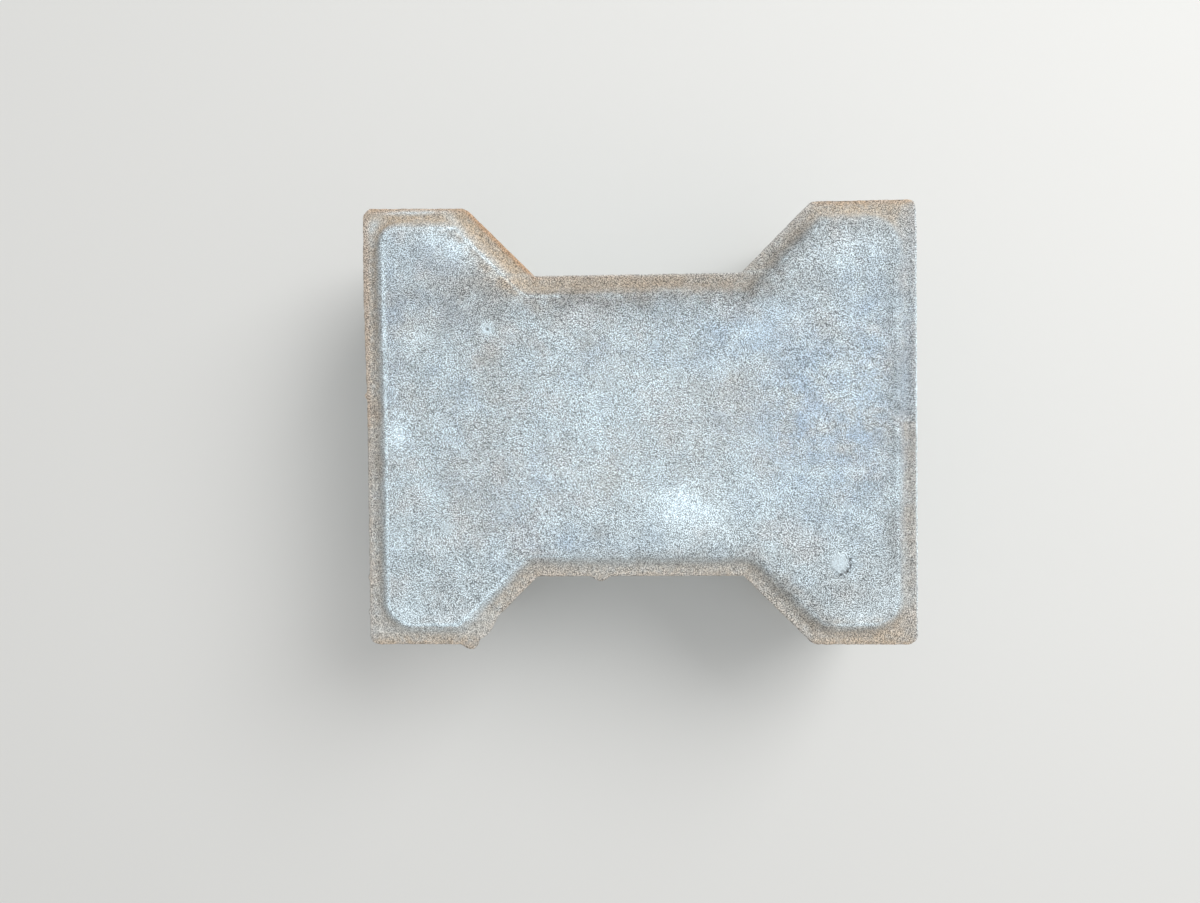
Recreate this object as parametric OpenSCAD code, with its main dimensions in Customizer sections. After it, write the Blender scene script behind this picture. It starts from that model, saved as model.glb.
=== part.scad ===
// Concrete paving stone: one vibro-pressed, I-shaped interlocking block.
// The origin is the centre of the bedding face, +X runs along the length and +Z points up. Millimetres.

/* [Plan] */
// Overall length of the stone, along X
stone_length = 200; // [160:1:260]
// Overall width of the stone across its arms, along Y
stone_width = 160; // [120:1:220]
// Depth of the notch in each long side
notch_depth = 25; // [10:1:40]
// Run of each sloping shoulder beside a notch, along X
shoulder_run = 25; // [10:1:40]
// Radius of the upright outer corners
corner_radius = 4; // [1:0.5:8]

/* [Section] */
// Thickness from the bedding face to the walking face
stone_thickness = 80; // [50:1:120]
// Width of the flat ledge that rings the crown
ledge_width = 4; // [2:0.1:8]
// Height of the crown above the ledge
crown_rise = 4; // [2:0.5:8]
// Width in plan of the bevel round the crown
bevel_width = 3.7; // [1:0.1:8]
// Plan radius of the crown's corners at the walking face
crown_radius = 10; // [4:0.5:15]

/* [Hidden] */
$fn = 64;

// The arm tips of two neighbours meet in a notch and fill its floor, so a tip is half a floor long.
arm_tip_length = (stone_length - 2 * shoulder_run) / 4;
tip_corner_x = stone_length / 2 - arm_tip_length;
floor_corner_x = tip_corner_x - shoulder_run;
waist_y = stone_width / 2 - notch_depth;

// How far a shoulder's corners slide along X for each millimetre that the plan is inset.
mitre = tan(atan2(notch_depth, shoulder_run) / 2);

ledge_height = stone_thickness - crown_rise;
bevel_run = bevel_width / crown_rise;

// A round is this much wider than the tangent one, so that it crosses the flats beside it cleanly.
graze = 0.002;
// How far the cuts that shape the crown run past its top and its foot.
lap = 0.5;

// The corners of the plan that stick out are round. The corners of the notch floors are sharp.
ROUND_CORNERS = [0, 1, 4, 5, 6, 7, 10, 11];
// The corners of the plan round the two arms on +X, from one notch floor to the other.
ARM_CORNERS = [9, 10, 11, 0, 1, 2];

// One quarter of the plan, inset on every side: outer corner, arm tip corner, notch floor corner.
function quarter_plan(inset) = [
    [stone_length / 2 - inset, stone_width / 2 - inset],
    [tip_corner_x + inset * mitre, stone_width / 2 - inset],
    [floor_corner_x + inset * mitre, waist_y - inset],
];

function flipped(points, x, y) = [for (p = points) [p.x * x, p.y * y]];
function reversed(points) = [for (k = [len(points) - 1 : -1 : 0]) points[k]];

// The whole I, anticlockwise from the outer corner on +X +Y.
function plan(inset) = let (quarter = quarter_plan(inset)) concat(
    quarter,
    reversed(flipped(quarter, -1, 1)),
    flipped(quarter, -1, -1),
    reversed(flipped(quarter, 1, -1))
);

// What a round takes off a corner of the plan: all beyond its chord that lies outside its circle.
module corner_cut(corner, centre) {
    reach = corner - centre;
    translate(centre)
        rotate(atan2(reach.y, reach.x))
            difference() {
                translate([corner_radius * corner_radius / norm(reach), -corner_radius])
                    square(2 * corner_radius);
                circle(corner_radius + graze);
            }
}

// The straight-sided block, up to the ledge.
module block() {
    corners = plan(0);
    centres = plan(corner_radius);
    linear_extrude(ledge_height)
        difference() {
            polygon(corners);
            for (k = ROUND_CORNERS) corner_cut(corners[k], centres[k]);
        }
}

// Everything outside the bevel on the crown's edge between two points of its foot.
module bevel_cut(from, to) {
    run = to - from;
    translate([from.x, from.y, 0])
        rotate([0, 0, atan2(run.y, run.x)])
            rotate([90, 0, 90])
                translate([0, 0, -stone_length])
                    linear_extrude(norm(run) + 2 * stone_length)
                        polygon([
                            [-bevel_run * lap, -lap],
                            [bevel_width + bevel_run * lap, crown_rise + lap],
                            [-stone_length, crown_rise + lap],
                            [-stone_length, -lap],
                        ]);
}

// What a conical round takes off a corner of the crown: all in its sector that lies outside the cone.
module cone_cut(corner, centre) {
    reach = corner - centre;
    foot_radius = crown_radius + bevel_width;
    half_turn = acos(foot_radius / norm(reach));
    depth = 2 * norm(reach);
    spread = depth * tan(half_turn);
    translate([centre.x, centre.y, -lap])
        rotate([0, 0, atan2(reach.y, reach.x)])
            difference() {
                linear_extrude(crown_rise + 2 * lap)
                    polygon([[0, 0], [depth, -spread], [depth, spread]]);
                cylinder(
                    h = crown_rise + 2 * lap,
                    r1 = foot_radius + bevel_run * lap + graze,
                    r2 = crown_radius - bevel_run * lap + graze
                );
            }
}

// The crown over the two arms on +X, with its shoulders running on into the waist.
module crown_arms() {
    foot = plan(ledge_width);
    centres = plan(ledge_width + bevel_width + crown_radius);
    difference() {
        translate([0, -stone_width / 2, 0]) cube([stone_length / 2, stone_width, crown_rise]);
        for (k = [1 : len(ARM_CORNERS) - 1]) bevel_cut(foot[ARM_CORNERS[k - 1]], foot[ARM_CORNERS[k]]);
        for (k = [1 : len(ARM_CORNERS) - 2]) cone_cut(foot[ARM_CORNERS[k]], centres[ARM_CORNERS[k]]);
    }
}

// The crown over the waist, which ends inside the arms.
module crown_waist() {
    foot_y = waist_y - ledge_width;
    top_y = foot_y - bevel_width;
    rotate([90, 0, 90])
        translate([0, 0, -tip_corner_x])
            linear_extrude(2 * tip_corner_x)
                polygon([[-foot_y, 0], [foot_y, 0], [top_y, crown_rise], [-top_y, crown_rise]]);
}

module crown() {
    crown_arms();
    mirror([1, 0, 0]) crown_arms();
    crown_waist();
}

module paving_stone() {
    color([0.68, 0.72, 0.74]) {
        block();
        translate([0, 0, ledge_height]) crown();
    }
}

paving_stone();
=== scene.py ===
import math
from collections import namedtuple

import bmesh
import bpy
from bpy.props import FloatProperty, FloatVectorProperty, PointerProperty
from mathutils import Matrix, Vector, noise


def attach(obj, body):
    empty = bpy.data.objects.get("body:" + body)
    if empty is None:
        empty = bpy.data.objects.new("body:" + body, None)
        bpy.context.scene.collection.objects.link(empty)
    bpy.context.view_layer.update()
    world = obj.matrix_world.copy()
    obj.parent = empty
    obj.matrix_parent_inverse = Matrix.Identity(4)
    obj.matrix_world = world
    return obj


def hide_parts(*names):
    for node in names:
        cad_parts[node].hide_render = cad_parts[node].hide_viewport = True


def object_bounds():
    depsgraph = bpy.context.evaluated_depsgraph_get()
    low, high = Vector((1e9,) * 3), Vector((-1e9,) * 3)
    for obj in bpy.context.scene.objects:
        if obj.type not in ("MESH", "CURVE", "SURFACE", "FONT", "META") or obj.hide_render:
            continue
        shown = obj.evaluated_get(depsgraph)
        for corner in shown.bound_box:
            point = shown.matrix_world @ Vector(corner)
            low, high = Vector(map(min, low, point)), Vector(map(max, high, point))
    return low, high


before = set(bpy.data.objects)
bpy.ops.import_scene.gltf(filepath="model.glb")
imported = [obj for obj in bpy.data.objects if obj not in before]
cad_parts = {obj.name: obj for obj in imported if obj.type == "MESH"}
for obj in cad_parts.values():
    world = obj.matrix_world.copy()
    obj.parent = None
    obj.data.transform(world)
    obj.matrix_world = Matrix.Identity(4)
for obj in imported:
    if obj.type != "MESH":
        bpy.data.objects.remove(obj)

bl_info = {
    "name": "Concrete Paving Stone",
    "version": (1, 0, 0),
    "blender": (4, 5, 0),
    "location": "View3D > Sidebar > Paving Stone",
    "description": "Builds a weathered I-shaped paving stone and the studio it is shown in",
    "category": "Object",
}

CAD_LOW, CAD_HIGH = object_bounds()
CAD_SIZE = CAD_HIGH - CAD_LOW
STONE_NAME = "paving_stone_concrete"

MM = 0.001
X, Y, Z = range(3)
WHITE = (1.0, 1.0, 1.0, 1.0)
# Roughness of the concrete and of the floor.
DULL = 0.9
SENSOR_WIDTH = 36.0
# The camera sees nothing nearer than this, in metres.
NEAREST_SEEN = 0.01
# The rays that see the backdrop in place of the even light.
BACKDROP_RAYS = ("Is Camera Ray", "Is Glossy Ray", "Is Transmission Ray")

# The corners of the plan, anticlockwise from the outer corner on +X +Y, by how they are rounded.
OUTER_CORNERS = (0, 5, 6, 11)
TIP_CORNERS = (1, 4, 7, 10)
OUTER_SEGMENTS = 8
TIP_SEGMENTS = 3
# Steps in the worn rounds along the edges.
ROUND_SEGMENTS = 3
# Two cuts that pass closer than this share their corners.
CUT_SNAP = 0.02 * MM

# The kinds of edge round the plan: the two ends, the arm tips, the sloping shoulders, the notch floors.
END, TIP, SHOULDER, NOTCH = range(4)

# A soft oval on the walking face, in millimetres and degrees, and how strong it is at its middle.
Patch = namedtuple("Patch", "x y along across turn strength")
# A place on the rim that swells out or, with a push below zero, is worn away. Millimetres.
RimMark = namedtuple("RimMark", "x y reach drop push")

# Lime bloom on the walking face, and two thin painted highlights along the rims of the +X end and the +Y
# notch, where edges facing the lamp catch the light.
BLOOM_AND_HIGHLIGHT_PATCHES = (
    Patch(17, -31, 14, 8, -18, 0.9),
    Patch(14, -28, 5, 4, 0, 0.3),
    Patch(4, -6, 40, 24, 0, 0.09),
    Patch(-28, -24, 30, 24, 0, 0.15),
    Patch(48, -22, 26, 14, 0, 0.18),
    Patch(-22, 18, 24, 14, 0, 0.05),
    Patch(-80, -27, 10, 18, 0, 0.14),
    Patch(-67, 66, 10, 5, -40, 0.25),
    Patch(-74.6, 68, 4, 3, 0, 0.48),
    Patch(-65.8, 64.3, 7, 4, -25, 0.42),
    Patch(-87.5, -2, 4, 6, 0, 1.0),
    Patch(-72, -70, 18, 3, 0, 0.3),
    Patch(-86, -66, 5, 5, 0, 0.4),
    Patch(82, -68, 12, 3, 25, 0.4),
    Patch(46, 36, 12, 6, 20, 0.25),
    Patch(76, 50, 12, 16, 0, 0.12),
    Patch(75, 9, 10, 10, 0, 0.22),
    Patch(-82, 78.7, 11, 0.8, 0, 0.6),
    Patch(-96.5, 74, 2, 3, -40, 0.5),
    Patch(-68, 76.5, 3, 1.5, -40, 0.35),
    Patch(-8, 6, 26, 14, 20, 0.14),
    Patch(30, 14, 16, 10, 0, 0.1),
    Patch(-69.8, -36.6, 2.4, 2.4, 0, 0.5),
    Patch(70.9, -49.8, 3.6, 3.6, 0, 0.6),
    Patch(-54.3, 35.3, 2.4, 2.4, 0, 1.1),
    # Painted highlight: a thin bright line along the rim of the +X end, which faces the lamp.
    Patch(100, 0, 0.7, 90, 0, 0.9),
    # Painted highlight: a thin bright line along the rim of the +Y notch floor, which faces the lamp.
    Patch(0, 55, 60, 0.8, 0, 0.25),
    Patch(-80, -74.5, 22, 2, 0, 0.3),
    Patch(0, -49.5, 45, 2, 0, 0.2),
    Patch(-55, -62.5, 14, 2, 45, 0.12),
    Patch(-80.5, 33.3, 5, 4, 30, 0.4),
)
DAMP_PATCHES = (
    Patch(4, 49, 58, 7, 0, 0.98),
    Patch(54, 63.5, 20, 5, 45, 0.85),
    Patch(80, 72, 20, 4, 0, 0.35),
    Patch(-50, 24, 26, 20, 0, 0.12),
    Patch(-14, -38, 6, 4, 0, 0.3),
    Patch(91, 0, 4.5, 60, 0, 0.45),
    Patch(98, 0, 2.5, 75, 0, 0.45),
    Patch(-60, 46, 16, 12, 0, 0.12),
    Patch(20, 30, 12, 9, 0, 0.12),
    Patch(56, -61, 18, 4, -45, 0.5),
    Patch(0, -46.5, 45, 2.5, 0, 0.28),
    Patch(0, -53, 45, 2.5, 0, 0.14),
    Patch(-97.5, 0, 3, 75, 0, 0.12),
    Patch(86, 40, 6, 8, 0, 0.1),
)
BLUE_PATCHES = (
    Patch(42, 34, 18, 8, 20, 0.6),
    Patch(60, 4, 20, 24, 0, 0.75),
    Patch(84, 14, 9, 34, 0, 0.5),
    Patch(80, 48, 12, 12, 0, 0.3),
    Patch(-72, 60, 14, 9, 0, 0.35),
    Patch(-40, -28, 18, 14, 0, 0.3),
    Patch(70, -25, 16, 16, 0, 0.3),
    Patch(-20, -44, 26, 4, 0, 0.4),
    Patch(-89, 30, 4, 40, 0, 0.3),
    Patch(-71, 66.3, 8, 3, -20, 0.35),
    Patch(96.5, 20, 4, 60, 0, 0.4),
)
BROWN_PATCHES = (
    Patch(-8, 52, 50, 5, 0, 0.4),
    Patch(-53, 61, 22, 5, -45, 0.65),
    Patch(-80, 74, 20, 3, 0, 0.35),
    Patch(34, 12, 7, 9, 0, 0.2),
    Patch(80, -72, 22, 2.5, 0, 0.25),
    Patch(-80, -73, 20, 2.5, 0, 0.25),
    Patch(-12, -20, 7, 6, 0, 0.25),
    Patch(-80, 36, 10, 6, 30, 0.15),
    Patch(-52, 20, 8, 10, 0, 0.15),
    Patch(80, 73, 20, 3, 0, 0.15),
    Patch(20, 47, 40, 3, 0, 0.12),
    Patch(0, -47, 45, 2.5, 0, 0.12),
    Patch(-57, 60, 20, 2, -45, 0.2),
    Patch(56, -61, 18, 4, -45, 0.18),
    Patch(82, -70, 16, 3, 0, 0.15),
)

# How strongly the ledge is stained brown, by the kind of edge and the signs of X and Y there.
LEDGE_SOIL = {
    (END, 1, 1): 0.08, (END, -1, 1): 0.65, (END, -1, -1): 0.5, (END, 1, -1): 0.4,
    (TIP, 1, 1): 0.95, (TIP, -1, 1): 1.0, (TIP, -1, -1): 0.85, (TIP, 1, -1): 0.9,
    (SHOULDER, 1, 1): 0.38, (SHOULDER, -1, 1): 1.0, (SHOULDER, -1, -1): 0.65, (SHOULDER, 1, -1): 0.5,
    (NOTCH, 1, 1): 0.4, (NOTCH, -1, 1): 0.45, (NOTCH, -1, -1): 0.65, (NOTCH, 1, -1): 0.65,
}
# How strongly red soil marks the outermost edge, in the same way.
RIM_RUST = {
    (END, 1, 1): 0.1, (END, -1, 1): 0.35, (END, -1, -1): 0.15, (END, 1, -1): 0.1,
    (TIP, 1, 1): 0.4, (TIP, -1, 1): 0.5, (TIP, -1, -1): 0.15, (TIP, 1, -1): 0.15,
    (SHOULDER, 1, 1): 0.1, (SHOULDER, -1, 1): 1.0, (SHOULDER, -1, -1): 0.1, (SHOULDER, 1, -1): 0.1,
    (NOTCH, 1, 1): 0.15, (NOTCH, -1, 1): 0.3, (NOTCH, -1, -1): 0.1, (NOTCH, 1, -1): 0.1,
}
# How bright the worn edge of the crown is, in the same way.
CROWN_EDGE_BLOOM = {
    (END, 1, 1): 0.05, (END, -1, 1): 0.44, (END, -1, -1): 0.42, (END, 1, -1): 0.1,
    (TIP, 1, 1): 0.0, (TIP, -1, 1): 0.15, (TIP, -1, -1): 0.65, (TIP, 1, -1): 0.35,
    (SHOULDER, 1, 1): 0.0, (SHOULDER, -1, 1): 0.36, (SHOULDER, -1, -1): 0.34, (SHOULDER, 1, -1): 0.0,
    (NOTCH, 1, 1): 0.0, (NOTCH, -1, 1): 0.0, (NOTCH, -1, -1): 0.05, (NOTCH, 1, -1): 0.05,
}

# A smooth disc of cement on the walking face. Millimetres.
Disc = namedtuple("Disc", "x y radius lift")
DISCS = (Disc(70.9, -49.8, 3.1, 0.2), Disc(-69.8, -36.6, 2.0, 0.1))
# The broken groove round the first disc, from one bearing to another in degrees, and the lone pit.
GROOVE_RADIUS = 4.2
GROOVE_BEARINGS = (-95, 25)
GROOVE_WIDTH = 1.1
PIT = (-54.3, 35.3)
PIT_RADIUS = 1.0
PIT_DEPTH = 0.5
# The groove and the pit get this much more painted shade and dirt than a void in a side.
PIT_DARK = 2.6
# Half the width of a disc's soft edge, and how far it and the concrete round the pit lose their speckle.
DISC_BLUR = 0.5
DISC_SMOOTH = 0.6
# How far round these marks the mesh is cut finer, and by how many cuts.
MARK_MARGIN = 3
MARK_CUTS = 2

RIM_MARKS = (
    RimMark(-100, 55, 55, 30, 0.9),
    RimMark(-98.8, 78.8, 4, 300, 0.6),
    RimMark(98.8, 78.8, 4, 300, 0.5),
    RimMark(-98.8, -78.8, 4, 300, 0.3),
    RimMark(99.5, 77, 2, 3, -0.6),
    RimMark(-57, -75, 8, 5, 2.0),
    RimMark(-62.5, -79.5, 4, 4, 2.4),
    RimMark(-14.3, -55, 4.2, 4, 2.0),
    RimMark(-100, 12, 1.6, 2, 0.9),
    RimMark(-100, -55, 1.5, 2, 0.8),
    RimMark(-100, -68, 1.5, 2, 0.8),
)

# The crown's fuller corner, on -X +Y: its place, how far it reaches and how far it stands out. Millimetres.
FULL_CORNER = (-89.4, 69.4)
FULL_REACH = 9.0
FULL_PUSH = 2.0
FULL_WAY = Vector((-1, 1, 0)).normalized()

# Widths of the skin's features, in millimetres.
SAND_GRAIN = 0.6
LUMP = 2.6
WAVE = 32
CRUMB = 2.2
SIDE_LUMP = 4
SIDE_GRAIN = 2
VOID = 2.8
VOID_CLUSTER = 11
# Shifts the noise of the voids away from that of the lumps.
VOID_SHIFT = Vector((7, 3, 1))
# Features of the sides are drawn out upright, as the stone was pushed from its mould.
SIDE_DRAG = 0.6
# The sides open up over this depth below the ledge, in millimetres.
SIDE_OPENS = 7
# How far in from the outline and how far below the ledge the rim is worn, in millimetres.
WORN_REACH = 2.5
WORN_DROP = 4
# The sand lies this much calmer on the worn rim.
WORN_CALM = 0.6
# The flat walking face begins this far in from the outline, in millimetres.
FACE_INSET = 9
# Stains on the top run this far down the sides, and soil from the ledge a little farther, in millimetres.
STAIN_DROP = 6
SOIL_DROP = 9
# Soil at the bottom of the sides: how strong it is and how far up it reaches, in millimetres.
FOOT_SOIL = 0.5
FOOT_SOIL_HEIGHT = 22

# What is noted on the points of the mesh, for the concrete to read.
NOTES = (
    "rim", "inward", "soil", "rust", "bloom_and_highlight", "edging", "damp", "film", "brown", "flank", "void", "smooth")
# The notes that patches alone make.
PATCH_NOTES = {
    "bloom_and_highlight": BLOOM_AND_HIGHLIGHT_PATCHES,
    "damp": DAMP_PATCHES,
    "film": BLUE_PATCHES,
    "brown": BROWN_PATCHES,
}


class StoneSizes(bpy.types.PropertyGroup):
    """Sizes of the stone, as in its solid, and of the rounds that pressing and wear leave on it."""

    length: FloatProperty(
        name="Length", description="Overall length along X", default=CAD_SIZE.x, unit="LENGTH")
    width: FloatProperty(
        name="Width", description="Overall width across the arms, along Y", default=CAD_SIZE.y,
        unit="LENGTH")
    thickness: FloatProperty(
        name="Thickness", description="From the bedding face to the walking face", default=CAD_SIZE.z,
        unit="LENGTH")
    notch_depth: FloatProperty(
        name="Notch depth", description="Depth of the notch in each long side", default=25 * MM,
        unit="LENGTH")
    shoulder_run: FloatProperty(
        name="Shoulder run", description="Run of each sloping shoulder along X", default=25 * MM,
        unit="LENGTH")
    corner_radius: FloatProperty(
        name="Corner radius", description="Radius of the upright outer corners", default=4 * MM,
        unit="LENGTH")
    ledge_width: FloatProperty(
        name="Ledge width", description="Width of the ledge round the crown", default=4 * MM, unit="LENGTH")
    crown_rise: FloatProperty(
        name="Crown rise", description="Height of the crown above the ledge", default=4 * MM, unit="LENGTH")
    bevel_width: FloatProperty(
        name="Bevel width", description="Width in plan of the bevel round the crown", default=3.7 * MM,
        unit="LENGTH")
    crown_radius: FloatProperty(
        name="Crown radius", description="Plan radius of the crown's corners", default=10 * MM,
        unit="LENGTH")
    rim_round: FloatProperty(
        name="Rim round", description="Wear on the ledge's outer edge", default=0.7 * MM, unit="LENGTH")
    foot_cove: FloatProperty(
        name="Foot cove", description="Hollow where the bevel meets the ledge", default=1.2 * MM,
        unit="LENGTH")
    crown_round: FloatProperty(
        name="Crown round", description="Wear on the crown's edge", default=1.2 * MM, unit="LENGTH")
    base_round: FloatProperty(
        name="Base round", description="Wear on the bottom edge", default=1.0 * MM, unit="LENGTH")
    top_cell: FloatProperty(
        name="Top cell", description="Size of the mesh cells on the top", default=0.875 * MM, unit="LENGTH")
    side_cell: FloatProperty(
        name="Side cell", description="Size of the mesh cells on the sides", default=1.25 * MM,
        unit="LENGTH")
    base_cell: FloatProperty(
        name="Base cell", description="Size of the mesh cells underneath", default=3.5 * MM, unit="LENGTH")


class StoneSkin(bpy.types.PropertyGroup):
    """Relief of the pressed concrete."""

    sand_height: FloatProperty(
        name="Sand height", description="Relief of the sand grains on the top", default=0.09 * MM,
        unit="LENGTH")
    lump_height: FloatProperty(
        name="Lump height", description="Relief of the lumps a few grains wide", default=0.1 * MM,
        unit="LENGTH")
    wave_height: FloatProperty(
        name="Wave height", description="Slow waves over the walking face", default=0.2 * MM, unit="LENGTH")
    side_height: FloatProperty(
        name="Side height", description="Relief of the open sides", default=0.3 * MM, unit="LENGTH")
    void_depth: FloatProperty(
        name="Void depth", description="Depth of the voids in the sides", default=1.2 * MM, unit="LENGTH")
    crumble: FloatProperty(
        name="Crumble", description="How far the rim has crumbled", default=0.12 * MM, unit="LENGTH")


class StoneTones(bpy.types.PropertyGroup):
    """Colours of the concrete and of what lies on it."""

    cement: FloatVectorProperty(
        name="Cement", description="The bare grey concrete", default=(0.495, 0.57, 0.61), subtype="COLOR")
    sand: FloatVectorProperty(
        name="Sand", description="Warmer concrete where the sand shows", default=(0.47, 0.51, 0.525),
        subtype="COLOR")
    # Also the colour of the painted highlights along two rims.
    bloom_and_highlight: FloatVectorProperty(
        name="Bloom", description="Lime that has bloomed white", default=(0.74, 0.87, 0.94),
        subtype="COLOR")
    film: FloatVectorProperty(
        name="Film", description="Bluish cement film", default=(0.36, 0.47, 0.60), subtype="COLOR")
    rosy: FloatVectorProperty(
        name="Rosy", description="Faintly rosy concrete", default=(0.55, 0.54, 0.535), subtype="COLOR")
    damp: FloatVectorProperty(
        name="Damp", description="Dark, denser or damp concrete", default=(0.22, 0.235, 0.24),
        subtype="COLOR")
    # Painted shade, with some dirt, in the voids, the groove and the pit.
    hollow_shade_and_dirt: FloatVectorProperty(
        name="Hollow", description="The dark inside of voids and pits", default=(0.09, 0.09, 0.09),
        subtype="COLOR")
    soil: FloatVectorProperty(
        name="Soil", description="Light brown soil", default=(0.485, 0.395, 0.295), subtype="COLOR")
    rust_soil: FloatVectorProperty(
        name="Red soil", description="Reddish soil along the rim", default=(0.50, 0.31, 0.18),
        subtype="COLOR")


class StudioSettings(bpy.types.PropertyGroup):
    """Floor, light and camera."""

    floor_tone: FloatVectorProperty(
        name="Floor", description="Colour of the floor", default=(0.78, 0.78, 0.76), subtype="COLOR")
    floor_size: FloatProperty(
        name="Floor size", description="Width of the floor", default=8.0, unit="LENGTH")
    sky_strength: FloatProperty(
        name="Sky strength", description="Strength of the even light from all round", default=0.6)
    key_power: FloatProperty(
        name="Key power", description="Power of the soft lamp", default=12.6, unit="POWER")
    key_width: FloatProperty(
        name="Key width", description="Width of the soft lamp", default=0.9, unit="LENGTH")
    key_place: FloatVectorProperty(
        name="Key place", description="Where the soft lamp stands", default=(0.75, 0.65, 1.05),
        subtype="TRANSLATION")
    camera_place: FloatVectorProperty(
        name="Camera place", description="Where the camera stands", default=(0.0005, -0.0041, 0.4035),
        subtype="TRANSLATION")
    camera_turn: FloatVectorProperty(
        name="Camera turn", description="How the camera is turned from looking straight down",
        default=tuple(math.radians(angle) for angle in (-0.932, 2.556, -0.551)), subtype="EULER")
    camera_lens: FloatProperty(
        name="Lens", description="Focal length of the camera on a 36 mm wide sensor, in millimetres",
        default=27.0)


def plan_corners(sizes, inset):
    """The twelve corners of the plan, inset on every side, anticlockwise from +X +Y."""
    half_length = sizes.length / 2
    half_width = sizes.width / 2
    tip_length = (sizes.length - 2 * sizes.shoulder_run) / 4
    slide = inset * shoulder_mitre(sizes)
    quarter = [
        (half_length - inset, half_width - inset),
        (half_length - tip_length + slide, half_width - inset),
        (half_length - tip_length - sizes.shoulder_run + slide, half_width - sizes.notch_depth - inset),
    ]
    flipped = [(-x, y) for x, y in reversed(quarter)]
    top = quarter + flipped
    return top + [(-x, -y) for x, y in top]


def shoulder_mitre(sizes):
    """Tangent of half the angle at which a shoulder slopes."""
    return math.tan(math.atan2(sizes.notch_depth, sizes.shoulder_run) / 2)


def add_level(bm, sizes, inset, radius, height):
    """Adds one level face of the stone with its round corners, and returns its edges."""
    old = set(bm.edges)
    corners = [bm.verts.new((x, y, height)) for x, y in plan_corners(sizes, inset)]
    bm.faces.new(corners)
    rounds = (
        (OUTER_CORNERS, radius, OUTER_SEGMENTS),
        (TIP_CORNERS, radius * shoulder_mitre(sizes), TIP_SEGMENTS))
    for picked, run, segments in rounds:
        bmesh.ops.bevel(
            bm, geom=[corners[k] for k in picked], offset=run, offset_type="OFFSET",
            segments=segments, profile=0.5, affect="VERTICES", material=-1)
    return [edge for edge in bm.edges if edge not in old]


def press_blank(sizes):
    """The stone as it leaves the mould: the levels of its plan, bridged and rounded."""
    bm = bmesh.new()
    ledge_height = sizes.thickness - sizes.crown_rise
    base = add_level(bm, sizes, 0, sizes.corner_radius, 0)
    rim = add_level(bm, sizes, 0, sizes.corner_radius, ledge_height)
    # The foot is bridged from above its place, because level rings inside each other can bridge crosswise.
    held_up = sizes.crown_rise / 2
    foot = add_level(
        bm, sizes, sizes.ledge_width, sizes.crown_radius + sizes.bevel_width, ledge_height + held_up)
    crown = add_level(bm, sizes, sizes.ledge_width + sizes.bevel_width, sizes.crown_radius, sizes.thickness)
    inner = [face for face in bm.faces if 0 < face.calc_center_median().z < sizes.thickness - CUT_SNAP]
    bmesh.ops.delete(bm, geom=inner, context="FACES_ONLY")
    for lower, upper in ((base, rim), (rim, foot), (foot, crown)):
        bmesh.ops.bridge_loops(bm, edges=lower + upper)
    foot_verts = list({vert for edge in foot for vert in edge.verts})
    bmesh.ops.translate(bm, verts=foot_verts, vec=(0, 0, -held_up))
    bmesh.ops.recalc_face_normals(bm, faces=bm.faces)
    rounds = (
        (base, sizes.base_round),
        (rim, sizes.rim_round),
        (foot, sizes.foot_cove),
        (crown, sizes.crown_round))
    for edges, size in rounds:
        bmesh.ops.bevel(
            bm, geom=edges, offset=size, offset_type="OFFSET", segments=ROUND_SEGMENTS, profile=0.5,
            affect="EDGES", material=-1)
    bmesh.ops.recalc_face_normals(bm, faces=bm.faces)
    return bm


def cut_places(low, high, cell):
    """Places for cuts between two ends, on whole cells counted from the middle of the stone."""
    return [k * cell for k in range(math.ceil(low / cell), math.floor(high / cell) + 1)]


def slice_faces(bm, faces, axis, places):
    """Cuts the faces at each place along an axis, and returns all the faces that result."""
    direction = Vector((0, 0, 0))
    direction[axis] = 1
    behind = []
    ahead = list(faces)
    for place in places:
        touched = {vert for face in ahead for vert in face.verts}
        touched |= {edge for face in ahead for edge in face.edges}
        cut = bmesh.ops.bisect_plane(
            bm, geom=ahead + list(touched), dist=CUT_SNAP, plane_co=direction * place, plane_no=direction)
        pieces = [part for part in cut["geom"] if isinstance(part, bmesh.types.BMFace)]
        ahead = []
        for face in pieces:
            middle = sum(vert.co[axis] for vert in face.verts) / len(face.verts)
            (ahead if middle > place else behind).append(face)
    return behind + ahead


def refine_marks(bm, sizes):
    """Cuts the cells round the first disc and the pit finer, so that they carry the small dots there."""
    places = ((DISCS[0].x, DISCS[0].y, DISCS[0].radius + MARK_MARGIN), (*PIT, MARK_MARGIN))
    for x, y, reach in places:
        middle = Vector((x * MM, y * MM, sizes.thickness))
        inside = {vert for vert in bm.verts if (vert.co - middle).length < reach * MM}
        edges = [edge for edge in bm.edges if inside.issuperset(edge.verts)]
        bmesh.ops.subdivide_edges(bm, edges=edges, cuts=MARK_CUTS, use_grid_fill=True)


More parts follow.
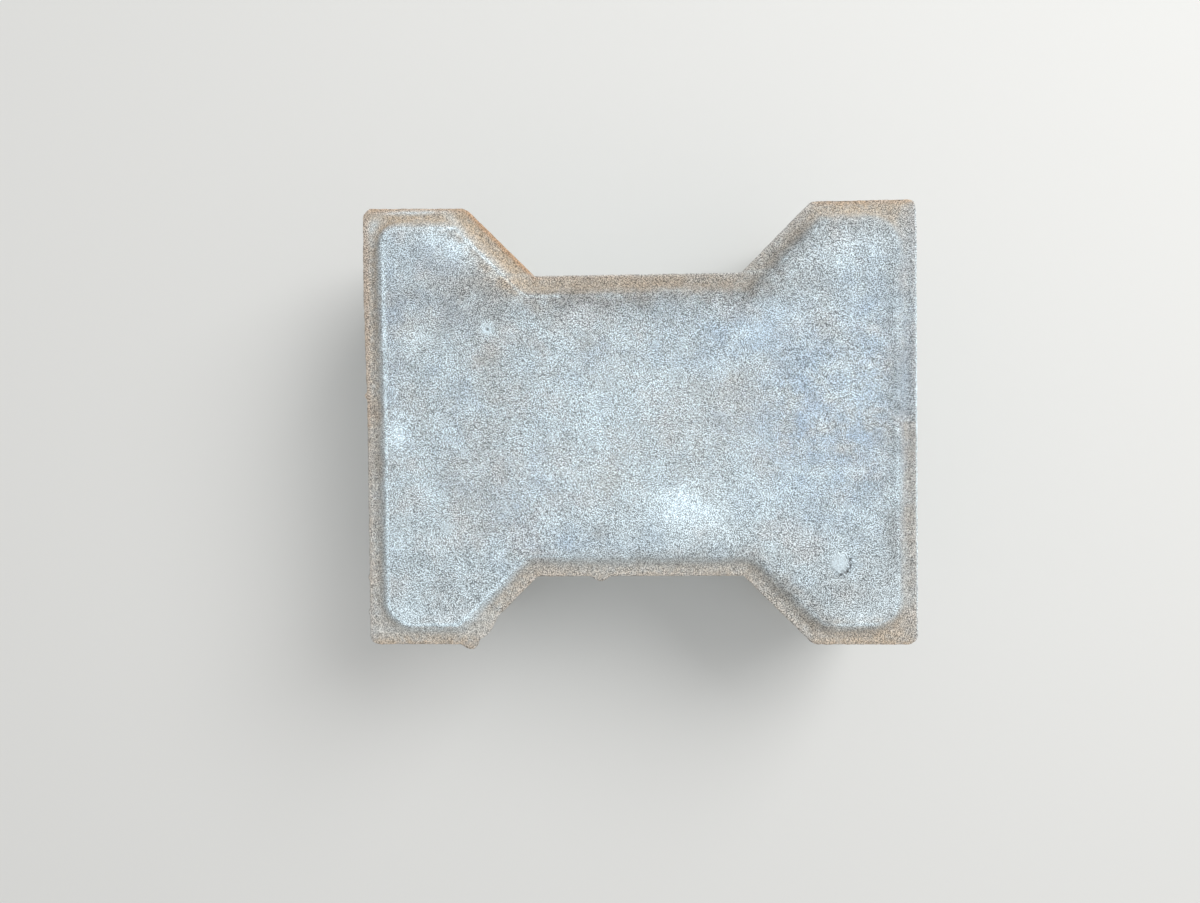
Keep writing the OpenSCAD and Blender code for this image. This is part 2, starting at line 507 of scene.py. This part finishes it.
def cut_cells(bm, sizes):
    """Cuts the top, the sides and the base into cells fine enough to carry their relief."""
    half_length = sizes.length / 2
    half_width = sizes.width / 2
    ledge_height = sizes.thickness - sizes.crown_rise
    top, side, base = [], [], []
    for face in bm.faces:
        height = face.calc_center_median().z
        if height > ledge_height - sizes.rim_round:
            top.append(face)
        elif height > sizes.base_round:
            side.append(face)
        else:
            base.append(face)
    rows = []
    for faces, cell in ((base, sizes.base_cell), (side, sizes.side_cell), (top, sizes.top_cell)):
        rows.append((slice_faces(bm, faces, X, cut_places(-half_length, half_length, cell)), cell))
    cells = [slice_faces(bm, faces, Y, cut_places(-half_width, half_width, cell)) for faces, cell in rows]
    slice_faces(bm, cells[1], Z, cut_places(2 * sizes.base_round, ledge_height, sizes.side_cell))
    refine_marks(bm, sizes)
    many_sided = [face for face in bm.faces if len(face.verts) > 4]
    bmesh.ops.triangulate(bm, faces=many_sided)


def segment_distance(x, y, start, end):
    """Distance of a point from a straight edge of the plan."""
    run = (end[0] - start[0], end[1] - start[1])
    share = ((x - start[0]) * run[0] + (y - start[1]) * run[1]) / (run[0] ** 2 + run[1] ** 2)
    share = min(max(share, 0), 1)
    return math.hypot(x - start[0] - share * run[0], y - start[1] - share * run[1])


class Plan:
    """The stone's outline in millimetres, which tells how far a point lies from each kind of edge."""

    def __init__(self, sizes):
        outer, tip, floor = [(x / MM, y / MM) for x, y in plan_corners(sizes, 0)[:3]]
        self.edges = {
            END: ((outer[0], 0), outer),
            TIP: (outer, tip),
            SHOULDER: (tip, floor),
            NOTCH: (floor, (0, floor[1])),
        }
        self.outer = outer
        self.crown_turn = (sizes.ledge_width + sizes.bevel_width + sizes.crown_radius) / MM

    def distances(self, x, y):
        """Distance from the nearest edge of each kind."""
        return {
            kind: segment_distance(abs(x), abs(y), start, end) for kind, (start, end) in self.edges.items()}

    def inward(self, x, y, rim):
        """Distance in from the outline, measured round the outer corners the way the crown turns them."""
        run_x = self.crown_turn - self.outer[0] + abs(x)
        run_y = self.crown_turn - self.outer[1] + abs(y)
        if run_x > 0 and run_y > 0:
            return self.crown_turn - math.hypot(run_x, run_y)
        return rim


class Place:
    """Where a point of the plain stone lies, below its ledge and in from its outline too. Millimetres."""

    def __init__(self, plan, spot, ledge_height):
        self.x, self.y, self.height = spot / MM
        self.depth = max(ledge_height - spot.z, 0) / MM
        self.near = plan.distances(self.x, self.y)
        self.rim = min(self.near.values())
        self.inward = plan.inward(self.x, self.y, self.rim)


def smooth_step(low, high, value):
    """0 below low, 1 above high, and a soft ramp between."""
    share = min(max((value - low) / (high - low), 0), 1)
    return share * share * (3 - 2 * share)


def patch_total(patches, x, y):
    """How strongly a point is covered by a list of patches."""
    total = 0
    for patch in patches:
        turn = math.radians(patch.turn)
        across = x - patch.x, y - patch.y
        u = (across[0] * math.cos(turn) + across[1] * math.sin(turn)) / patch.along
        v = (across[1] * math.cos(turn) - across[0] * math.sin(turn)) / patch.across
        spread = u * u + v * v
        if spread < 6:
            total += patch.strength * math.exp(-spread)
    return total


def edge_share(table, place):
    """A value of a table of edges, blended between the edges that are near."""
    signs = (1 if place.x > 0 else -1, 1 if place.y > 0 else -1)
    weights = {kind: 1 / (distance + 0.5) ** 2 for kind, distance in place.near.items()}
    total = sum(weight * table[(kind, *signs)] for kind, weight in weights.items())
    return total / sum(weights.values())


def rim_push(x, y, depth):
    """How far the marks on the rim push a point out, in millimetres. Depth is below the ledge."""
    push = 0
    for mark in RIM_MARKS:
        spread = math.hypot(x - mark.x, y - mark.y) / mark.reach
        sink = depth / mark.drop
        fade = 1 - spread * spread - sink * sink
        if fade > 0:
            push += mark.push * fade * fade
    return push


def full_corner(x, y):
    """How far the fuller corner of the crown shifts a point, in millimetres."""
    spread = math.hypot(x - FULL_CORNER[0], y - FULL_CORNER[1]) / FULL_REACH
    fade = max(1 - spread * spread, 0)
    return FULL_WAY * (FULL_PUSH * fade * fade)


def pit_share(x, y):
    """1 in the middle of the groove and of the lone pit, and 0 away from them."""
    share = smooth_step(PIT_RADIUS, 0, math.hypot(x - PIT[0], y - PIT[1]))
    run = x - DISCS[0].x, y - DISCS[0].y
    bearing = math.degrees(math.atan2(run[1], run[0]))
    if GROOVE_BEARINGS[0] < bearing < GROOVE_BEARINGS[1]:
        broken = smooth_step(-0.25, 0.1, noise.noise(Vector((x, y, 0)) * 1.2))
        share = max(share, broken * smooth_step(GROOVE_WIDTH, 0, abs(math.hypot(*run) - GROOVE_RADIUS)))
    return share


def disc_cover(disc, x, y):
    """1 on a smooth disc and 0 away from it."""
    return smooth_step(disc.radius + DISC_BLUR, disc.radius - DISC_BLUR, math.hypot(x - disc.x, y - disc.y))


def mark_crown(x, y, lift):
    """Lays the smooth discs over the sandy relief, and sinks the groove and the pit. Metres."""
    for disc in DISCS:
        lift += disc_cover(disc, x, y) * (disc.lift * MM - lift)
    return lift - pit_share(x, y) * PIT_DEPTH * MM


def smooth_share(x, y):
    """How far the discs and the concrete round the pit have lost their speckle."""
    around_pit = smooth_step(3 * PIT_RADIUS, PIT_RADIUS, math.hypot(x - PIT[0], y - PIT[1]))
    return DISC_SMOOTH * (around_pit + sum(disc_cover(disc, x, y) for disc in DISCS))


def side_skin(place, spot, flank, skin):
    """The relief of the open sides, in metres, and how far a point lies in a void, which sets its painted
    shade and dirt.
    """
    drawn = Vector((spot.x, spot.y, spot.z * SIDE_DRAG))
    below = smooth_step(0, SIDE_OPENS, place.depth)
    rough = noise.noise(drawn / (SIDE_LUMP * MM)) + 0.6 * noise.noise(drawn / (SIDE_GRAIN * MM))
    open_here = noise.noise(drawn / (VOID * MM) + VOID_SHIFT)
    open_here += 0.5 * noise.noise(drawn / (VOID_CLUSTER * MM))
    void = smooth_step(0.4, 0.8, open_here) * flank * below * smooth_step(1, 5, place.height)
    return flank * below * (skin.side_height * rough - skin.void_depth * void), void


def stain_notes(place):
    """How strongly each stain and painted highlight covers a point."""
    top = smooth_step(STAIN_DROP, 0, place.depth)
    notes = {name: patch_total(patches, place.x, place.y) * top for name, patches in PATCH_NOTES.items()}
    notes["rim"] = place.rim
    notes["inward"] = place.inward
    notes["rust"] = edge_share(RIM_RUST, place) * top
    notes["edging"] = edge_share(CROWN_EDGE_BLOOM, place)
    notes["soil"] = edge_share(LEDGE_SOIL, place)
    if place.depth > 1:
        notes["soil"] *= smooth_step(SOIL_DROP, 1, place.depth)
        notes["soil"] += FOOT_SOIL * smooth_step(FOOT_SOIL_HEIGHT, 0, place.height)
    return notes


def weather_stone(bm, sizes, skin):
    """Gives the plain stone its sandy skin, voids and worn rim, and notes on its points the stains, the
    painted highlights and the painted shade of the voids and pits.
    """
    bm.normal_update()
    plan = Plan(sizes)
    ledge_height = sizes.thickness - sizes.crown_rise
    layers = {name: bm.verts.layers.float.new(name) for name in NOTES}
    for vert in bm.verts:
        spot = vert.co.copy()
        out = vert.normal.copy()
        place = Place(plan, spot, ledge_height)
        notes = stain_notes(place)
        flank = 1 - smooth_step(0.1, 0.6, out.z)
        notes["flank"] = flank

        worn = smooth_step(WORN_REACH, 0, place.rim) * smooth_step(WORN_DROP, 0, place.depth)
        sand = noise.cell(spot / (SAND_GRAIN * MM)) - 0.5
        lump = noise.noise(spot / (LUMP * MM))
        wave = noise.noise(spot / (WAVE * MM))
        lift = (2 * skin.sand_height * sand + skin.lump_height * lump) * (1 - WORN_CALM * worn)
        lift += skin.wave_height * wave * smooth_step(4, 12, place.rim)
        if flank > 0:
            relief, notes["void"] = side_skin(place, spot, flank, skin)
            lift += relief
        elif place.rim > FACE_INSET:
            lift = mark_crown(place.x, place.y, lift)
            # The groove and the pit get painted shade and dirt.
            notes["void"] = PIT_DARK * pit_share(place.x, place.y)
            notes["smooth"] = smooth_share(place.x, place.y)
        crumble = worn * skin.crumble * max(noise.noise(spot / (CRUMB * MM)) + 0.15, 0) * 1.6

        move = out * (lift - crumble)
        move += Vector((out.x, out.y, 0)) * rim_push(place.x, place.y, place.depth) * MM
        if flank == 0 and out.z > 0:
            move += full_corner(place.x, place.y) * MM
        if out.z < -0.5:
            # The underside stays flat on its bed, so its relief only goes inwards.
            move = Vector((0, 0, abs(lift)))
        vert.co = spot + move
        vert.co.z = max(vert.co.z, 0)
        for name, strength in notes.items():
            vert[layers[name]] = strength
    bm.normal_update()


class Value:
    """A number that varies over a surface. Arithmetic with it adds Math nodes."""

    def __init__(self, recipe, socket):
        self.recipe = recipe
        self.socket = socket

    def math(self, operation, first, second):
        """Adds one Math node."""
        return self.recipe.add("ShaderNodeMath", {"operation": operation}, {0: first, 1: second})

    def __add__(self, other):
        return self.math("ADD", self, other)

    def __radd__(self, other):
        return self.math("ADD", other, self)

    def __sub__(self, other):
        return self.math("SUBTRACT", self, other)

    def __rsub__(self, other):
        return self.math("SUBTRACT", other, self)

    def __mul__(self, other):
        return self.math("MULTIPLY", self, other)

    def __rmul__(self, other):
        return self.math("MULTIPLY", other, self)


class Recipe:
    """The nodes of one material or of the world."""

    def __init__(self, owner):
        owner.use_nodes = True
        self.tree = owner.node_tree
        self.tree.nodes.clear()

    def add(self, kind, settings=None, inputs=None, output=0):
        """Adds a node, sets it, fills its sockets with values or links, and returns one of its outputs."""
        node = self.tree.nodes.new(kind)
        for name, value in (settings or {}).items():
            setattr(node, name, value)
        for name, value in (inputs or {}).items():
            if isinstance(value, Value):
                self.tree.links.new(value.socket, node.inputs[name])
            else:
                node.inputs[name].default_value = value
        return Value(self, node.outputs[output]) if node.outputs else None

    def painted(self, name):
        """A number noted on the points of the mesh."""
        return self.add("ShaderNodeAttribute", {"attribute_name": name}, output="Fac")

    def noise(self, where, size, detail=2.0, roughness=0.5):
        """Soft noise whose features have the given size in metres."""
        return self.add(
            "ShaderNodeTexNoise", {},
            {"Vector": where, "Scale": 1 / size, "Detail": detail, "Roughness": roughness})

    def moved(self, where, shift):
        """The same place, shifted so that a noise read there is a different one."""
        return self.add("ShaderNodeMapping", {}, {"Vector": where, "Location": shift})

    def ramp(self, value, low, high, start=0.0, end=1.0):
        """A soft ramp from start to end while the value goes from low to high."""
        return self.add(
            "ShaderNodeMapRange", {"interpolation_type": "SMOOTHSTEP"},
            {"Value": value, "From Min": low, "From Max": high, "To Min": start, "To Max": end})

    def blend(self, share, under, over, way="MIX"):
        """Lays one colour over another."""
        return self.add(
            "ShaderNodeMix", {"data_type": "RGBA", "blend_type": way, "clamp_factor": True},
            {0: share, 6: under, 7: over}, output=2)


def solid_tone(tone):
    """A colour setting with its alpha."""
    return (*tone, 1.0)


def mix_concrete(tones):
    """Weathered concrete: grey, sandy and mottled, with lime bloom, damp and soil where they are noted,
    painted highlights along two rims, and painted shade and dirt in the voids and pits.
    """
    concrete = bpy.data.materials.new("weathered_concrete")
    mix = Recipe(concrete)
    where = mix.add("ShaderNodeTexCoord", output="Object")
    rim = mix.painted("rim")
    inward = mix.painted("inward")
    flank = mix.painted("flank")

    # Noises, from the broadest to the finest.
    broad = mix.noise(where, 30 * MM, 3.0, 0.6)
    tinted = mix.noise(mix.moved(where, (0.7, 0.4, 0.5)), 16 * MM, 3.0, 0.6)
    mottled = mix.noise(mix.moved(where, (0.3, 0.1, 0.2)), 9 * MM, 2.0, 0.6)
    cloudy = mix.noise(where, 7 * MM, 3.0, 0.6)
    patchy = mix.noise(where, 2.5 * MM, 2.0, 0.6)
    grain = mix.noise(where, 0.37 * MM, 0.0, 0.5)
    fine = mix.noise(where, 0.23 * MM, 0.0, 0.5)

    # Bare concrete, in three tints.
    colour = mix.blend(mix.ramp(broad, 0.4, 0.65), solid_tone(tones.cement), solid_tone(tones.sand))
    colour = mix.blend(mix.ramp(tinted, 0.5, 0.68, 0.0, 0.4), colour, solid_tone(tones.rosy))

    # Cement film, damp and soil.
    film = mix.painted("film") * mix.ramp(cloudy, 0.25, 0.65) + mix.ramp(tinted, 0.48, 0.3, 0.0, 0.25)
    colour = mix.blend(film, colour, solid_tone(tones.film))
    damp = mix.painted("damp") * mix.ramp(cloudy, 0.3, 0.7, 0.6, 1.2)
    damp = damp + mix.ramp(mottled, 0.5, 0.3, 0.0, 0.15)
    colour = mix.blend(damp, colour, solid_tone(tones.damp))
    brown = mix.painted("brown") * mix.ramp(cloudy, 0.3, 0.7, 0.6, 1.3)
    colour = mix.blend(brown, colour, solid_tone(tones.soil))
    ledge = mix.painted("soil") * mix.ramp(inward, 4.0, 8.5, 1.0, 0.0)
    colour = mix.blend(ledge * mix.ramp(patchy, 0.2, 0.7, 0.6, 1.0), colour, solid_tone(tones.soil))
    edge = mix.painted("rust") * mix.ramp(rim, 0.6, 2.4, 0.75, 0.0)
    colour = mix.blend(edge, colour, solid_tone(tones.rust_soil))

    # Lime bloom, with painted highlights along two rims: where it is noted, along the crown's worn edge,
    # and in flecks.
    bloom_and_highlight = mix.painted("bloom_and_highlight") * mix.ramp(patchy, 0.3, 0.7, 0.6, 1.3)
    worn = mix.painted("edging") * mix.ramp(inward, 7.2, 7.9) * mix.ramp(inward, 9.3, 8.2)
    bloom_and_highlight = bloom_and_highlight + worn * mix.ramp(patchy, 0.3, 0.7, 0.9, 1.7)
    flecks = mix.ramp(mottled, 0.48, 0.7, 0.0, 0.24) + mix.ramp(patchy, 0.6, 0.76, 0.0, 0.2)
    bloom_and_highlight = bloom_and_highlight + flecks * (1 - flank * 0.8) * mix.ramp(inward, 4.0, 8.0)
    colour = mix.blend(bloom_and_highlight, colour, solid_tone(tones.bloom_and_highlight))
    # Painted shade and dirt darken the voids in the sides, the groove and the pit.
    colour = mix.blend(mix.painted("void") * 0.35, colour, solid_tone(tones.hollow_shade_and_dirt))

    # Light and dark grains of sand, fainter where film, soil, bloom and painted highlight cover them.
    speckle = mix.ramp(grain + fine * 0.9, 0.76, 1.14, 0.25, 1.8)
    sandy = 1 - mix.painted("smooth") - film * 0.3 - ledge * 0.25 - flank * 0.3 - bloom_and_highlight * 0.25
    colour = mix.blend(sandy, colour, mix.blend(1.0, colour, speckle, "MULTIPLY"))
    bump = mix.add(
        "ShaderNodeBump", {}, {"Strength": 0.6, "Distance": 0.25 * MM, "Height": grain + fine * 0.5})
    shader = mix.add(
        "ShaderNodeBsdfPrincipled", {},
        {"Base Color": colour, "Roughness": DULL, "Specular IOR Level": 0.25, "Normal": bump})
    mix.add("ShaderNodeOutputMaterial", {}, {"Surface": shader})
    return concrete


def paint_floor(studio):
    """The plain floor."""
    paint = bpy.data.materials.new("studio_floor")
    mix = Recipe(paint)
    shader = mix.add(
        "ShaderNodeBsdfPrincipled", {}, {"Base Color": solid_tone(studio.floor_tone), "Roughness": DULL})
    mix.add("ShaderNodeOutputMaterial", {}, {"Surface": shader})
    return paint


def mesh_object(name, bm, material):
    """Makes an object at the origin from a bmesh."""
    mesh = bpy.data.meshes.new(name)
    bm.to_mesh(mesh)
    bm.free()
    mesh.materials.append(material)
    made = bpy.data.objects.new(name, mesh)
    bpy.context.scene.collection.objects.link(made)
    return made


class STONE_OT_press(bpy.types.Operator):
    """Press the paving stone and weather it"""

    bl_idname = "stone.press"
    bl_label = "Press Paving Stone"

    def execute(self, context):
        scene = context.scene
        bm = press_blank(scene.stone_sizes)
        cut_cells(bm, scene.stone_sizes)
        weather_stone(bm, scene.stone_sizes, scene.stone_skin)
        if not all(edge.is_contiguous for edge in bm.edges):
            raise RuntimeError("The stone's mesh is not closed.")
        stone = mesh_object(STONE_NAME, bm, mix_concrete(scene.stone_tones))
        stone.data.shade_smooth()
        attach(stone, "root")
        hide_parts("paving_stone")
        return {"FINISHED"}


class STONE_OT_studio(bpy.types.Operator):
    """Set up the floor, the light and the camera"""

    bl_idname = "stone.studio"
    bl_label = "Set Up Studio"

    def execute(self, context):
        scene = context.scene
        studio = scene.stone_studio
        if STONE_NAME not in scene.objects:
            raise RuntimeError("There is no stone to show: press it first.")
        bm = bmesh.new()
        bmesh.ops.create_grid(bm, x_segments=1, y_segments=1, size=studio.floor_size / 2)
        mesh_object("studio_floor", bm, paint_floor(studio))
        self.hang_lamp(scene, studio)
        self.light_sky(scene, studio)
        self.place_camera(scene, studio)
        scene.view_settings.view_transform = "Standard"
        return {"FINISHED"}

    def hang_lamp(self, scene, studio):
        """One large soft lamp, turned towards the stone."""
        lamp = bpy.data.lights.new("key_lamp", "AREA")
        lamp.energy = studio.key_power
        lamp.size = studio.key_width
        hung = bpy.data.objects.new("key_lamp", lamp)
        hung.location = studio.key_place
        hung.rotation_euler = (-Vector(studio.key_place)).to_track_quat("-Z", "Y").to_euler()
        scene.collection.objects.link(hung)

    def light_sky(self, scene, studio):
        """Even light from all round, behind a backdrop in the floor's colour."""
        scene.world = bpy.data.worlds.new("studio_sky")
        mix = Recipe(scene.world)
        even = mix.add("ShaderNodeBackground", {}, {"Color": WHITE, "Strength": studio.sky_strength})
        backdrop = mix.add(
            "ShaderNodeBackground", {}, {"Color": solid_tone(studio.floor_tone), "Strength": 1.0})
        straight, mirrored, through = [mix.add("ShaderNodeLightPath", output=ray) for ray in BACKDROP_RAYS]
        sky = mix.add("ShaderNodeMixShader", {}, {0: straight + mirrored + through, 1: even, 2: backdrop})
        mix.add("ShaderNodeOutputWorld", {}, {"Surface": sky})

    def place_camera(self, scene, studio):
        """The camera above the stone, looking down."""
        lens = bpy.data.cameras.new("camera")
        lens.lens = studio.camera_lens
        lens.sensor_width = SENSOR_WIDTH
        lens.clip_start = NEAREST_SEEN
        camera = bpy.data.objects.new("camera", lens)
        camera.location = studio.camera_place
        camera.rotation_euler = studio.camera_turn
        scene.collection.objects.link(camera)
        scene.camera = camera


class STONE_PT_panel(bpy.types.Panel):
    """Lists the steps that make the stone and its studio"""

    bl_idname = "STONE_PT_panel"
    bl_label = "Paving Stone"
    bl_space_type = "VIEW_3D"
    bl_region_type = "UI"
    bl_category = "Paving Stone"

    def draw(self, context):
        for step in STEPS:
            self.layout.operator(step.bl_idname)


STEPS = (STONE_OT_press, STONE_OT_studio)
SETTINGS = {
    "stone_sizes": StoneSizes,
    "stone_skin": StoneSkin,
    "stone_tones": StoneTones,
    "stone_studio": StudioSettings,
}
CLASSES = (*SETTINGS.values(), *STEPS, STONE_PT_panel)


def register():
    """Adds the settings, steps and panel to Blender."""
    for cls in CLASSES:
        bpy.utils.register_class(cls)
    for name, group in SETTINGS.items():
        setattr(bpy.types.Scene, name, PointerProperty(type=group))


def unregister():
    """Takes them out again."""
    for name in SETTINGS:
        delattr(bpy.types.Scene, name)
    for cls in reversed(CLASSES):
        bpy.utils.unregister_class(cls)


def main():
    """Builds the stone and its studio."""
    register()
    bpy.ops.stone.press()
    bpy.ops.stone.studio()


if __name__ == "__main__":
    main()
